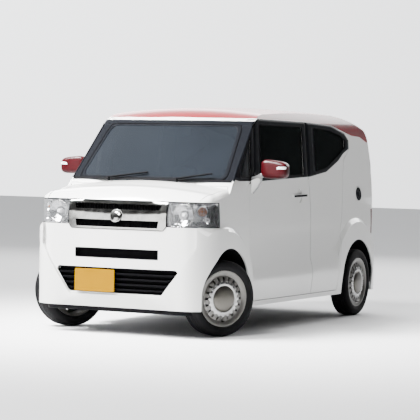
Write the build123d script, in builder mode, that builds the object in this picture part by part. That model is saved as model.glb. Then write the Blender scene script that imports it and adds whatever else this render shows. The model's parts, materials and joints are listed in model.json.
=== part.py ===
from build123d import *
import os
from math import asin, cos, radians, sin

# Tall-bodied kei car, parked. Millimetres, +Z up, nose towards -Y, the car's left side towards +X.
# The origin is on the ground at the middle of the car.
os.makedirs("parts", exist_ok=True)

# ---- driving dimensions -------------------------------------------------------------------------
HALF_LENGTH = 1697.5
WHEELBASE = 2520
TRACK = 1305
FRONT_AXLE = -1237.5
REAR_AXLE = FRONT_AXLE + WHEELBASE
TYRE_R = 281
RIM_R = 206
STEER_AT_REST = -29
PROUD = 25.5
WALL = 45
SKIN = 15
HEM = 25
GAP = 5
GLASS = 5
GLASS_IN = 6
HALF_BODY = 715
SHOULDER_R = 50
FLOOR_Z = 200
CROWN_AXIS_Z = -3000
DOOR_X = 580

# Side view of the body on its centre line: station, height, then how both move per mm of inset.
PROFILE = [
    (-1640, 200, 1, 0), (-1700, 420, 1, 0), (-1700, 760, 1, -0.1), (-1636, 985, 1, -0.45),
    (-1560, 1050, 0.6, -0.8), (-1420, 1090, 0.25, -1), (-1310, 1112, 0.2, -1), (-1198, 1128, 0.6, -1),
    (-745, 1594, 0.9, -0.9), (-652, 1657, 0.3, -1), (-480, 1690, 0.1, -1), (100, 1716, 0, -1),
    (700, 1720, 0, -1), (1150, 1698, -0.1, -1), (1500, 1628, -0.3, -1), (1588, 1584, -0.8, -0.8),
    (1635, 1490, -1, -0.3), (1685, 1230, -1, -0.1), (1712, 960, -1, 0), (1712, 640, -1, 0),
    (1672, 560, -1, 0), (1672, 200, -1, 0),
]
# Left half of the section across the body: across, height, then the same two columns.
SECTION = [
    (690, 150, -1, 0), (712, 380, -1, 0), (712, 760, -1, 0), (700, 1000, -1, 0), (674, 1200, -1, 0),
    (642, 1560, -1, -0.1), (622, 1650, -0.93, -0.45), (560, 1712, -0.55, -0.85), (500, 1765, -0.5, -0.8),
]
# Wheel arches: arch centre, arch radius, flare centre, flare radius, inner wall across
# (centres as station, height).
ARCHES = [
    ((-1262, 303), 345, (-1310, 310), 490, 395),
    ((1262, 305), 342, (1236, 335), 490, 552),
]
# Panel outlines as station, height.
FRONT_DOOR = [(-885, 240), (262, 240), (262, 1606), (-716, 1600), (-762, 1200), (-885, 1106)]
REAR_DOOR = [
    (272, 240), (805, 240), (850, 430), (872, 620), (950, 1000), (1050, 1320), (1180, 1408),
    (1180, 1484), (1100, 1538), (800, 1592), (272, 1606),
]
FRONT_WINDOW = [(-640, 1172), (190, 1184), (190, 1570), (-606, 1566)]
REAR_WINDOW = [(440, 1212), (660, 1244), (930, 1345), (1080, 1412), (1086, 1484), (1000, 1520), (780, 1558), (440, 1568)]
QUARTER_LIGHT = [(-1004, 1166), (-822, 1166), (-792, 1480)]
ROOF_LINE = [
    (-720, 1612), (272, 1613), (800, 1600), (1120, 1546), (1250, 1524), (1440, 1516), (1590, 1474), (1760, 1474),
    (1760, 1780), (-720, 1780),
]
BUMPER_SIDE = [(-1780, 150), (-1500, 150), (-1500, 560), (-1405, 798), (-1405, 978), (-1780, 978)]
WING_SIDE = [(-1500, 150), (-890, 150), (-890, 1106), (-890, 1128), (-1780, 1128), (-1780, 978), (-1405, 978), (-1405, 798), (-1500, 560)]
SILL_BAND = [(-905, 488), (214, 521), (629, 559), (905, 615)]
# Panel outlines as across, height.
FASCIA = [(-375, 290), (375, 290), (528, 488), (775, 845), (775, 1000), (-775, 1000), (-775, 845), (-528, 488)]
TAILGATE = [(-560, 570), (560, 570), (592, 1100), (548, 1502), (-548, 1502), (-592, 1100)]
REAR_GLASS = [(-490, 1120), (490, 1120), (458, 1440), (-458, 1440)]
WINDSCREEN = [(-626, 1142), (626, 1142), (566, 1560), (-566, 1560)]
HANDLE_BAR = [(-76, 1006), (193, 1012), (193, 1038), (-76, 1032)]
HANDLE_DISH = (58, 1022)
HANDLE_DISH_R = 55
UPPER_GRILLE = [(-402, 800), (-380, 773), (380, 773), (402, 800), (402, 978), (-402, 978)]
GRILLE_HOLES = [
    [(-345, 915), (345, 915), (360, 955), (-360, 955)],
    [(-335, 786), (335, 786), (345, 838), (-345, 838)],
]
INTAKE = [(-390, 305), (390, 305), (520, 488), (-520, 488)]
SLOT = [(-345, 557), (345, 557), (345, 630), (-345, 630)]
LAMP = [(408, 800), (760, 800), (760, 978), (408, 978)]
LAMP_END = -1405
LAMP_DEPTH = 90
# Bonnet outline as across, station.
BONNET = [
    (-592, -1780), (592, -1780), (640, -1500), (660, -1178), (420, -1216), (-420, -1216), (-660, -1178), (-640, -1500),
]
BONNET_LIP = 983
BONNET_DEPTH = 25
MIRROR_Y = -800
PLATE_X, PLATE_Z = -163, 393
FUEL_LID = (1321, 1031)
LID_R = 56

FRONT_VIEW = Plane(origin=(0, 0, 0), x_dir=(1, 0, 0), z_dir=(0, -1, 0))


# ---- helpers ------------------------------------------------------------------------------------
def moved(row, inset):
    return (row[0] + row[2] * inset, row[1] + row[3] * inset)


def envelope(inset, shoulder=0):
    """Body form, pulled in by the inset: crowned side profile, section across and plan outline.

    A shoulder radius rounds the edges between the bonnet and the wings."""
    side = [moved(row, inset) for row in PROFILE]
    with BuildPart() as crowned:
        with BuildSketch(Plane.YZ):
            with BuildLine():
                Polyline(*side[:4])
                for first in (3, 5):
                    ThreePointArc(*side[first : first + 3])
                Line(*side[7:9])
                for first in (8, 10, 12):
                    ThreePointArc(*side[first : first + 3])
                ThreePointArc(*side[14:17])
                ThreePointArc(*side[16:19])
                Polyline(*side[18:], side[0])
            make_face()
        revolve(axis=Axis((0, 0, CROWN_AXIS_Z), (0, 1, 0)), revolution_arc=36)
    centred = crowned.part.rotate(Axis((0, 0, CROWN_AXIS_Z), (0, 1, 0)), -18)
    left = [moved(row, inset) for row in SECTION]
    right = [(-x, z) for x, z in left]
    half, nose, tail = HALF_BODY - inset, -1672 + inset, 1692 - inset
    with BuildPart() as form:
        add(centred)
        with BuildSketch(FRONT_VIEW.offset(-1900)):
            with BuildLine():
                Polyline(right[0], *left[:3])
                ThreePointArc(*left[2:5])
                Line(*left[4:6])
                ThreePointArc(*left[5:8])
                Polyline(*left[7:], *right[:6:-1])
                ThreePointArc(right[7], right[6], right[5])
                Line(right[5], right[4])
                ThreePointArc(right[4], right[3], right[2])
                Polyline(*right[2::-1])
            make_face()
        extrude(amount=3800, mode=Mode.INTERSECT)
        with BuildSketch(Plane.XY.offset(FLOOR_Z)) as plan:
            with BuildLine():
                ThreePointArc((-half, nose + 45), (0, nose), (half, nose + 45))
                Line((half, nose + 45), (half, tail - 15))
                ThreePointArc((half, tail - 15), (0, tail), (-half, tail - 15))
                Line((-half, tail - 15), (-half, nose + 45))
            make_face()
            fillet(plan.vertices().sort_by(Axis.Y)[:2], 200 - inset)
            fillet(plan.vertices().sort_by(Axis.Y)[-2:], 95 - 0.7 * inset)
        extrude(amount=1600, mode=Mode.INTERSECT)
        if shoulder:
            edges = form.edges().filter_by_position(Axis.Y, -1620, -1200).filter_by_position(Axis.Z, 960, 1200)
            fillet([edge for edge in edges if abs(edge.center().X) > 545], shoulder)
    return form.part


def prism(plane, points, amount, radius=0, grow=0):
    """Prism from an outline on a plane, optionally grown or with rounded corners."""
    with BuildPart() as shape:
        with BuildSketch(plane) as outline:
            with BuildLine():
                Polyline(*points, close=True)
            make_face()
            if grow:
                offset(amount=grow, kind=Kind.INTERSECTION)
            if radius:
                fillet(outline.vertices(), radius)
        extrude(amount=amount, dir=plane.z_dir)
    return shape.part


def side_prism(points, x_from, x_to, radius=0, grow=0):
    return prism(Plane.YZ.offset(x_from), points, x_to - x_from, radius, grow)


def front_prism(points, y_from, y_to, radius=0, grow=0):
    """The outline is given as across, height; y_from lies ahead of y_to."""
    return prism(FRONT_VIEW.offset(-y_to), points, y_to - y_from, radius, grow)


def plan_prism(points, z_from, z_to, grow=0):
    return prism(Plane.XY.offset(z_from), points, z_to - z_from, 0, grow)


def block(x, y, z):
    """Box between three pairs of limits."""
    with BuildPart() as shape:
        with Locations(((x[0] + x[1]) / 2, (y[0] + y[1]) / 2, (z[0] + z[1]) / 2)):
            Box(abs(x[1] - x[0]), y[1] - y[0], z[1] - z[0])
    return shape.part


def rod(start, end, radius, end_radius=None):
    """Round rod, or cone when the end radius differs, between two points."""
    run = Vector(*end) - Vector(*start)
    with BuildPart() as shape:
        with BuildSketch(Plane(origin=start, z_dir=run)):
            Circle(radius)
        if end_radius:
            with BuildSketch(Plane(origin=end, z_dir=run)):
                Circle(end_radius)
            loft()
        else:
            extrude(amount=run.length)
    return shape.part


def joined(*pieces):
    with BuildPart() as shape:
        add(pieces)
    return shape.part


def shared(first, *others):
    with BuildPart() as shape:
        add(first)
        for other in others:
            add(other, mode=Mode.INTERSECT)
    return shape.part


def less(first, *cutters):
    with BuildPart() as shape:
        add(first)
        add(cutters, mode=Mode.SUBTRACT)
    return shape.part


def both_sides(left_piece):
    with BuildPart() as shape:
        add(left_piece)
        mirror(left_piece, about=Plane.YZ)
    return shape.part


def flipped(left_piece):
    with BuildPart() as shape:
        mirror(left_piece, about=Plane.YZ)
    return shape.part


def write(piece, name):
    piece.label = name
    export_step(piece, f"parts/{name}.step")


# ---- shared solids of the body ------------------------------------------------------------------
plain_body = envelope(0, SHOULDER_R)
under_skin = envelope(SKIN, SHOULDER_R - SKIN)
under_gap = envelope(SKIN + GAP, SHOULDER_R - SKIN - GAP)
hollow = envelope(WALL)
proud_zones = [
    block((-760, 760), (REAR_AXLE, HALF_LENGTH), (150, 545)),
    less(block((-760, 760), (-1760, -1310), (150, 860)), front_prism(FASCIA, -1800, -1200)),
]
left_zones = []
for _, _, flare_centre, flare_radius, _ in ARCHES:
    left_zones.append(rod((640, *flare_centre), (745, *flare_centre), flare_radius + 90, flare_radius - 40))
with BuildPart() as sill_zone:
    for x, rise in ((640, 252), (745, -111)):
        with BuildSketch(Plane.YZ.offset(x)):
            with BuildLine():
                Polyline((-905, 150), *[(y, z + rise) for y, z in SILL_BAND], (905, 150), close=True)
            make_face()
    loft(ruled=True)
left_zones.append(sill_zone.part)
left_zone = joined(*left_zones)
proud_body = shared(
    envelope(-PROUD),
    joined(*proud_zones, left_zone, flipped(left_zone)),
    block((-800, 800), (-HALF_LENGTH, HALF_LENGTH), (150, 1000)),
)
outer_body = joined(plain_body, proud_body)
left_wells = joined(*[
    joined(
        rod((wall, *centre), (800, *centre), radius),
        block((wall, 800), (centre[0] - radius, centre[0] + radius), (100, centre[1])),
    )
    for centre, radius, _, _, wall in ARCHES
])
wheel_wells = both_sides(left_wells)
skin = less(outer_body, hollow, wheel_wells)
left_half = block((300, 800), (-1780, 1780), (100, 1720))
left_skin = shared(skin, left_half)
left_under = shared(under_skin, left_half)
left_gap = shared(under_gap, left_half)
rear_part = block((-800, 800), (1400, 1800), (100, 1720))
rear_skin = shared(skin, rear_part)
nose_part = block((-800, 800), (-1800, -1100), (100, 1200))
nose_skin = shared(skin, nose_part)

# ---- doors --------------------------------------------------------------------------------------
left_cuts = []
DOORS = (("door_front", FRONT_DOOR, FRONT_WINDOW), ("door_rear", REAR_DOOR, REAR_WINDOW))
for name, outline, window in DOORS:
    full = side_prism(outline, DOOR_X, 800)
    core = side_prism(outline, DOOR_X, 800, grow=-HEM)
    panel = less(shared(left_skin, full), shared(left_under, less(full, core)))
    left_cuts.append(
        less(
            side_prism(outline, DOOR_X - GAP, 800, grow=GAP),
            less(left_gap, side_prism(outline, 300, 800, grow=GAP - HEM)),
        )
    )
    pane_zone = side_prism(window, 300, 800, grow=10)
    pane = less(shared(envelope(GLASS_IN), pane_zone), envelope(GLASS_IN + GLASS))
    panel = less(panel, side_prism(window, 300, 800, radius=25), pane)
    if name == "door_front":
        dish = less(rod((DOOR_X, *HANDLE_DISH), (800, *HANDLE_DISH), HANDLE_DISH_R), envelope(9))
        bar = less(shared(envelope(-13), side_prism(HANDLE_BAR, DOOR_X, 800, radius=9)), envelope(4))
        ends = less(shared(envelope(-13), side_prism(HANDLE_BAR, DOOR_X, 800, radius=9)), under_skin, dish)
        panel = joined(less(panel, dish), bar, ends)
    write(panel, f"{name}_left_panel")
    write(pane, f"{name}_left_glass")
    write(flipped(panel), f"{name}_right_panel")
    write(flipped(pane), f"{name}_right_glass")

# ---- mirrors ------------------------------------------------------------------------------------
with BuildPart() as mirror_left:
    with BuildSketch(FRONT_VIEW.offset(-MIRROR_Y - 50)) as face:
        with Locations((872, 1228)):
            Rectangle(212, 134)
        fillet(face.vertices(), 40)
    extrude(amount=95)
    fillet(mirror_left.faces().sort_by(Axis.Y)[0].edges(), 34)
    with BuildSketch(FRONT_VIEW.offset(-MIRROR_Y - 25)):
        with BuildLine():
            Polyline((690, 1118), (742, 1118), (800, 1180), (780, 1225), (730, 1170), (684, 1160), close=True)
        make_face()
    extrude(amount=45)
    add(shared(outer_body, block((500, 800), (-900, -700), (1000, 1300))), mode=Mode.SUBTRACT)
write(mirror_left.part, "mirror_left")
write(flipped(mirror_left.part), "mirror_right")

# ---- bonnet and tailgate ------------------------------------------------------------------------
bonnet = less(
    shared(plain_body, plan_prism(BONNET, BONNET_LIP, 1126)),
    envelope(BONNET_DEPTH, SHOULDER_R - BONNET_DEPTH),
)
write(bonnet, "bonnet_panel")
bonnet_opening = plan_prism(BONNET, BONNET_LIP - GAP, 1200, grow=GAP)

tailgate_core = front_prism(TAILGATE, 1440, 1800, grow=-HEM)
tailgate_full = front_prism(TAILGATE, 1440, 1800)
rear_pane = less(
    shared(rear_part, envelope(GLASS_IN), front_prism(REAR_GLASS, 1440, 1800, grow=10)), envelope(GLASS_IN + GLASS)
)
tailgate = less(shared(rear_skin, tailgate_full), shared(under_skin, less(tailgate_full, tailgate_core)))
write(less(tailgate, front_prism(REAR_GLASS, 1440, 1800, radius=40), rear_pane), "tailgate_panel")
write(rear_pane, "tailgate_glass")
tailgate_cut = less(
    front_prism(TAILGATE, 1440, 1800, grow=GAP),
    less(under_gap, front_prism(TAILGATE, 1440, 1800, grow=GAP - HEM)),
)

# ---- fixed glass --------------------------------------------------------------------------------
screen_seat = front_prism(WINDSCREEN, -1400, -640, grow=14)
screen = less(shared(envelope(1), screen_seat), envelope(1 + GLASS))
quarter_zone = side_prism(QUARTER_LIGHT, 300, 800)
quarter = less(shared(envelope(GLASS_IN), quarter_zone), envelope(GLASS_IN + GLASS), *left_cuts)
write(joined(screen, both_sides(quarter)), "fixed_glass")

# ---- nose ---------------------------------------------------------------------------------------
left_lamp_zone = shared(front_prism(LAMP, -1800, -1200), block((300, 800), (-1800, LAMP_END), (700, 1100)))
lamp_zone = both_sides(left_lamp_zone)
write(less(shared(plain_body, lamp_zone), envelope(LAMP_DEPTH)), "headlamps")

grille_zone = front_prism(UPPER_GRILLE, -1800, -1400)
holes = [front_prism(points, -1800, -1400) for points in GRILLE_HOLES]
write(less(shared(envelope(-4), grille_zone), envelope(50), *holes), "upper_grille")

intake_zone = front_prism(INTAKE, -1800, -1300, radius=22)
slot_zone = front_prism(SLOT, -1800, -1300)
backing = less(envelope(45), envelope(55))
slats = [
    shared(less(envelope(8), envelope(45)), block((-600, 600), (-1760, -1500), (z, z + 12)), intake_zone)
    for z in range(325, 480, 38)
]
backing_zone = joined(intake_zone, slot_zone)
grille_back = shared(less(envelope(50), envelope(58)), grille_zone)
plate_bracket = block((PLATE_X - 40, PLATE_X + 40), (-1682, -1620), (PLATE_Z - 55, PLATE_Z + 55))
intake_back = less(shared(backing, backing_zone, nose_part), wheel_wells)
write(joined(intake_back, *slats, plate_bracket, grille_back), "grille_inserts")

bumper_zone = side_prism(BUMPER_SIDE, -800, 800)
write(less(shared(nose_skin, bumper_zone), lamp_zone, grille_zone, intake_zone, slot_zone), "front_bumper")
with BuildPart() as front_plate:
    with BuildSketch(FRONT_VIEW.offset(1688)) as face:
        with Locations((PLATE_X, PLATE_Z)):
            Rectangle(330, 165)
        fillet(face.vertices(), 10)
    extrude(amount=-6)
write(front_plate.part, "front_plate")

# ---- wings, roof, tail --------------------------------------------------------------------------
left_wing_zone = shared(side_prism(WING_SIDE, 300, 800), block((560, 800), (-1800, 0), (100, 1300)))
left_wing = less(shared(left_skin, left_wing_zone), bonnet_opening)
write(both_sides(left_wing), "front_wings")

roof_zone = side_prism(ROOF_LINE, -800, 800)
write(less(shared(skin, roof_zone), screen_seat, tailgate_cut), "roof_panel")

rear_bumper_zone = block((-800, 800), (1500, 1800), (100, 560))
write(shared(rear_skin, rear_bumper_zone), "rear_bumper")

left_tail_zone = block((612, 800), (1585, 1800), (690, 900))
tail_zone = both_sides(left_tail_zone)
write(shared(rear_skin, tail_zone), "tail_lamps")

lid_bar = rod((600, *FUEL_LID), (800, *FUEL_LID), LID_R)
write(less(shared(plain_body, lid_bar), under_skin), "fuel_lid")
lid_cut = less(rod((600, *FUEL_LID), (800, *FUEL_LID), LID_R + GAP), envelope(SKIN + 15))

half_cuts = joined(*left_cuts)
body_shell = less(
    skin, half_cuts, flipped(half_cuts), bonnet_opening, tailgate_cut, bumper_zone,
    both_sides(left_wing_zone), roof_zone, front_prism(WINDSCREEN, -1400, -640), screen, both_sides(quarter_zone),
    rear_bumper_zone, tail_zone, lamp_zone, lid_cut, block((-560, 560), (-1800, -1230), (150, 1300)),
)
write(body_shell, "body_shell")

# ---- underbody ----------------------------------------------------------------------------------
FLOOR_SIDE = [
    (-1086, 900), (-1110, 900), (-1110, 240), (-1040, 205), (905, 205), (1010, 330), (1600, 330), (1600, 350),
    (1000, 350), (895, 225), (-1030, 225), (-1086, 250),
]
floor_form = shared(side_prism(FLOOR_SIDE, -800, 800), envelope(WALL + 0.5))
write(less(floor_form, wheel_wells), "floor_pan")

LINER = 4
LINER_GAP = 0.3
LINER_FOOT = 235
left_liners = []
for centre, radius, _, _, wall in ARCHES:
    wide, narrow = radius - LINER_GAP, radius - LINER_GAP - LINER
    outer = joined(
        rod((wall, *centre), (662, *centre), wide),
        block((wall, 662), (centre[0] - wide, centre[0] + wide), (LINER_FOOT, centre[1])),
    )
    inner = joined(
        rod((wall + LINER, *centre), (800, *centre), narrow),
        block((wall + LINER, 800), (centre[0] - narrow, centre[0] + narrow), (100, centre[1])),
    )
    left_liners.append(less(outer, inner))
STRUT_TOP = (500, FRONT_AXLE, 672)
left_liner = less(
    joined(*left_liners),
    block((390, 670), (-1700, 1700), (-100, LINER_FOOT)),
    rod((500, FRONT_AXLE, 560), (500, FRONT_AXLE, 760), 70),
    block((545, 565), (REAR_AXLE - 60, REAR_AXLE + 60), (LINER_FOOT, 341)),
)
write(both_sides(left_liner), "wheel_liners")

# Steering axis of the left front wheel, through the lower ball joint and the strut's top.
STEER_LOW = (607.4, FRONT_AXLE, 165)
LEAN = (STEER_LOW[0] - STRUT_TOP[0]) / (STRUT_TOP[2] - STEER_LOW[2])
left_frame = joined(
    block((330, 385), (-1560, -1110), (260, 320)),
    block((385, 391), (-1560, -1110), (262, 700)),
    block((385, 560), (FRONT_AXLE - 90, FRONT_AXLE + 90), (676, 700)),
    block((300, 560), (FRONT_AXLE - 70, FRONT_AXLE + 30), (141, 157)),
    block((300, 385), (FRONT_AXLE - 70, FRONT_AXLE + 30), (141, 262)),
)
left_frame = joined(left_frame, rod((560, FRONT_AXLE - 20, 149), (606, FRONT_AXLE - 1, 149), 22), rod((609.1, FRONT_AXLE, 141), (603.9, FRONT_AXLE, 182), 11))
cross_member = block((-302, 302), (FRONT_AXLE - 70, FRONT_AXLE + 30), (200, 255))
write(joined(both_sides(left_frame), cross_member), "front_subframe")

write(block((-298, 298), (-1540, -1180), (255, 800)), "engine_block")

left_rear_link = joined(
    block((480, 530), (1020, REAR_AXLE), (235, 290)),
    block((480, 530), (1020, 1080), (235, 330)),
    rod((470, REAR_AXLE, TYRE_R), (548, REAR_AXLE, TYRE_R), 45),
    rod((548, REAR_AXLE, TYRE_R), (668, REAR_AXLE, TYRE_R), 17.95),
    rod((440, REAR_AXLE + 20, 285), (440, REAR_AXLE + 20, 330), 45),
)
axle_beam = rod((-490, REAR_AXLE - 60, 262), (490, REAR_AXLE - 60, 262), 34)
spring_pads = [block((s * 440 - 55, s * 440 + 55), (REAR_AXLE - 60, REAR_AXLE + 70), (270, 292)) for s in (-1, 1)]
write(joined(both_sides(left_rear_link), axle_beam, *spring_pads), "rear_axle")

with BuildPart() as fuel_tank:
    with Locations((0, 90, 178)):
        Box(900, 620, 54)
    fillet(fuel_tank.edges().filter_by(Axis.Z), 60)
write(fuel_tank.part, "fuel_tank")

exhaust = joined(
    rod((-180, 480, 180), (-180, 1330, 180), 19),
    rod((-180, 1320, 180), (-180, 1500, 245), 19),
    rod((-440, 1545, 252), (160, 1545, 252), 68),
    rod((-400, 1545, 184), (-400, 1685, 181), 17),
)
write(exhaust, "exhaust")

# ---- interior -----------------------------------------------------------------------------------
DASH = [(-1086, 760), (-1086, 985), (-1000, 1030), (-880, 1010), (-800, 940), (-790, 860), (-830, 760), (-960, 700)]
write(shared(side_prism(DASH, -620, 620, radius=8), envelope(WALL + 6)), "dashboard")

WHEEL_TILT = 28
wheel_centre = Vector(-330, -650, 935)
wheel_plane = Plane(origin=wheel_centre, x_dir=(1, 0, 0), z_dir=(0, cos(radians(WHEEL_TILT)), sin(radians(WHEEL_TILT))))
with BuildPart() as steering_wheel:
    with BuildSketch(Plane(origin=wheel_centre, x_dir=(1, 0, 0), z_dir=wheel_plane.y_dir)):
        with Locations((178, 0)):
            Circle(14)
    revolve(axis=Axis(wheel_centre, wheel_plane.z_dir))
    with BuildSketch(wheel_plane.offset(-20)):
        Circle(62)
        Rectangle(356, 30)
        with Locations((0, -90)):
            Rectangle(34, 176)
    extrude(amount=18)
    with BuildSketch(wheel_plane.offset(-190)):
        Circle(24)
    extrude(amount=172)
write(less(steering_wheel.part, shared(side_prism(DASH, -620, 620, radius=8), envelope(WALL + 6))), "steering_wheel")

# Seats: name, middles across the car, width, floor point of the seat, leg height under the cushion.
SEATS = [
    ("front_seats", (-335, 335), 480, -330, 225),
    ("rear_seat", (0,), 1020, 560, 225),
]
for name, middles, width, y, z in SEATS:
    seat_pieces = []
    for x in middles:
        low, high = x - width / 2, x + width / 2
        seat_pieces += [
            block((low + 60, high - 60), (y - 180, y + 180), (z, z + 150)),
            side_prism([(y - 250, z + 150), (y - 250, z + 270), (y + 200, z + 240), (y + 200, z + 150)], low, high, radius=30),
            side_prism(
                [(y + 150, z + 246), (y + 290, z + 246), (y + 430, z + 850), (y + 330, z + 850)], low + 10, high - 10, radius=30
            ),
        ]
        for head in ((x,) if len(middles) > 1 else (-300, 300)):
            seat_pieces.append(
                side_prism([(y + 350, z + 852), (y + 430, z + 852), (y + 455, z + 1010), (y + 375, z + 1010)], head - 120, head + 120, radius=20)
            )
            seat_pieces.append(rod((head, y + 385, z + 840), (head, y + 395, z + 860), 8))
    write(joined(*seat_pieces), name)

# ---- wipers -------------------------------------------------------------------------------------
wiper_arms = joined(*[
    joined(rod((pivot, -1196, 1105), (pivot, -1206, 1150), 9), rod((pivot, -1204, 1146), (tip, -1158, 1188), 7))
    for pivot, tip in ((-330, -20), (250, 520))
])
write(less(wiper_arms, plain_body), "wipers")

# ---- wheels -------------------------------------------------------------------------------------
# Wheel profiles as along the axle (outwards positive), radius.
TYRE = [
    (-61, 190.4), (-61, 207), (-72, 212), (-82, 238), (-74, 266), (-58, 280), (0, 281), (58, 280),
    (74, 266), (82, 238), (72, 212), (61, 207), (61, 190.4),
]
RIM = [
    (-70, 206), (-64, 206), (-62, 190), (62, 190), (64, 206), (70, 206), (70, 198), (67, 185), (57, 168),
    (62, 150), (66, 129), (60, 96), (72, 60), (76, 0), (58, 0), (58, 18), (-30, 18), (-30, 50), (-14, 50),
    (-14, 118), (-4, 118), (-4, 50), (46, 50), (46, 130), (48, 150), (40, 183), (-64, 183), (-69, 199),
]
HUB_BORE = 18
SLOTS = 20


def turned(point, origin, axis_direction, angle):
    """Point turned about an axis."""
    return Vertex(*point).rotate(Axis(origin, axis_direction), angle).center()


def wheel_pair(side_name, centre, outward):
    """Tyre and rim of one wheel, about its axle."""
    radial_plane = Plane(origin=centre, x_dir=outward, z_dir=outward.cross(Vector(0, 0, 1)))
    with BuildPart() as tyre:
        with BuildSketch(radial_plane):
            with BuildLine():
                Polyline(*TYRE, close=True)
            make_face()
        revolve(axis=Axis(centre, outward))
    write(tyre.part, f"tyre_{side_name}")
    with BuildPart() as rim:
        with BuildSketch(radial_plane):
            with BuildLine():
                Polyline(*RIM, close=True)
            make_face()
        revolve(axis=Axis(centre, outward))
        with BuildSketch(Plane(origin=centre, z_dir=outward)):
            with PolarLocations(147, SLOTS):
                SlotOverall(32, 17)
        extrude(amount=80, mode=Mode.SUBTRACT)
    write(rim.part, f"rim_{side_name}")


for side_name, side in (("left", 1), ("right", -1)):
    wheel_pair(f"rear_{side_name}", Vector(side * TRACK / 2, REAR_AXLE, TYRE_R), Vector(side, 0, 0))

for side_name, side in (("left", 1), ("right", -1)):
    low = Vector(side * STEER_LOW[0], STEER_LOW[1], STEER_LOW[2])
    steer_axis = (Vector(side * STRUT_TOP[0], STRUT_TOP[1], STRUT_TOP[2]) - low).normalized()
    straight = Vector(side * TRACK / 2, FRONT_AXLE, TYRE_R)
    centre = turned(straight, low, steer_axis, STEER_AT_REST)
    outward = (turned(straight + Vector(side, 0, 0), low, steer_axis, STEER_AT_REST) - centre).normalized()
    camber = asin(abs(outward.Z))
    drop = TYRE[5][1] * cos(camber) + TYRE[7][0] * sin(camber) - centre.Z
    low = low + Vector(0, 0, drop)
    centre = centre + Vector(0, 0, drop)
    wheel_pair(f"front_{side_name}", centre, outward)
    foot = low + steer_axis * ((TYRE_R + drop - low.Z) / steer_axis.Z)
    with BuildPart() as knuckle:
        add(rod(tuple(low + steer_axis * 21), tuple(low + steer_axis * 215), 24))
        add(rod(tuple(low + steer_axis * 215), tuple(low + steer_axis * 505), 20))
        add(rod(tuple(low + steer_axis * 420), tuple(low + steer_axis * 500), 48))
        add(rod(tuple(foot), tuple(centre - outward * 36), 30))
        add(rod(tuple(centre - outward * 36), tuple(centre + outward * 15), HUB_BORE - 0.05))
        add(rod(tuple(low - steer_axis * 20), tuple(low + steer_axis * 40), 11.05), mode=Mode.SUBTRACT)
    write(knuckle.part, f"knuckle_{side_name}")
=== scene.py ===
import bmesh
import bpy
import json
import numpy as np
from math import cos, pi, radians, sin
from mathutils import Matrix


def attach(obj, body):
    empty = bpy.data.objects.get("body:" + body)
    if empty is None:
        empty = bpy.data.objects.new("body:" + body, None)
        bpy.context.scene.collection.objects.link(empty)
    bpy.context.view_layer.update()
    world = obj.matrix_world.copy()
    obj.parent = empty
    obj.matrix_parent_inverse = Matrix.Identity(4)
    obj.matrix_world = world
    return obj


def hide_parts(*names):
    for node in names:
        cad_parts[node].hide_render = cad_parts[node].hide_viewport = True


# Tall kei car. Metres, +Z up, nose towards -Y, the car's left side towards +X.
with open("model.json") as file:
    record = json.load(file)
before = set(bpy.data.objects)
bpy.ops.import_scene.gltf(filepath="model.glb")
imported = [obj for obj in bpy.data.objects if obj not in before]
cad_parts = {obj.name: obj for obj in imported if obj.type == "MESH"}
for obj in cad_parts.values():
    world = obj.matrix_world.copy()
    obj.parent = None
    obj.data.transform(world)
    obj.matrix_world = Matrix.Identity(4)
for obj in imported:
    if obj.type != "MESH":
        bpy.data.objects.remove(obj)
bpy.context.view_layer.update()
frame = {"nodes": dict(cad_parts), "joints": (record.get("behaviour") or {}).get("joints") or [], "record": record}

# ---- body form ----
SIDES = ((1, "left"), (-1, "right"))
AHEAD = (0, -1, 0)
CROWN_Z = 3.0  # the roof's crown is turned about a line this far under the ground
HALF_BODY = 0.715
NOSE_Y = -1.672
NOSE_BOW_R, NOSE_BOW_END = 5.703, 0.535  # bow of the nose in plan: radius, and how far across it runs
CORNER_R, CORNER_X, CORNER_Y = 0.200, 0.515, -1.4478  # circle of the nose's corner in plan: radius, middle
TAIL_CORNER_R, TAIL_CORNER_Y = 0.095, 1.574
SHOULDER_R = 0.050  # rounding from the bonnet to the wing
ROOF_EDGE_X = 0.641  # half width at which the side meets the roof
HEADER_TOP = 1.590  # level line where the black header over the screen ends
PROUD = 0.0255  # how far the flares and the sill stand out


def stacked(*parts):
    """Points from their coordinates, each given as an array or a single number."""
    return np.stack(np.broadcast_arrays(*parts), -1)


def arc(first, middle, last):
    """Points on the circle through three points: equal steps of angle about the circle's centre."""
    (ax, ay), (bx, by), (cx, cy) = first, middle, last
    d = 2 * (ax * (by - cy) + bx * (cy - ay) + cx * (ay - by))
    a2, b2, c2 = ax * ax + ay * ay, bx * bx + by * by, cx * cx + cy * cy
    ox = (a2 * (by - cy) + b2 * (cy - ay) + c2 * (ay - by)) / d
    oy = (a2 * (cx - bx) + b2 * (ax - cx) + c2 * (bx - ax)) / d
    start, mid, end = (np.arctan2(p[1] - oy, p[0] - ox) for p in (first, middle, last))
    mid = start + (mid - start + pi) % (2 * pi) - pi
    end = mid + (end - mid + pi) % (2 * pi) - pi
    angle = np.linspace(start, end, 12)
    radius = np.hypot(ax - ox, ay - oy)
    return stacked(ox + radius * np.cos(angle), oy + radius * np.sin(angle))


# Side profile from the bonnet's lip to the tail, as station, height.
ROOF_RISE = np.concatenate([
    arc((-1.636, 0.985), (-1.560, 1.050), (-1.420, 1.090)), arc((-1.420, 1.090), (-1.310, 1.112), (-1.198, 1.128)),
    arc((-0.745, 1.594), (-0.652, 1.657), (-0.480, 1.690)), arc((-0.480, 1.690), (0.100, 1.716), (0.700, 1.720)),
    arc((0.700, 1.720), (1.150, 1.698), (1.500, 1.628)), arc((1.500, 1.628), (1.588, 1.584), (1.635, 1.490)),
])
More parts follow.
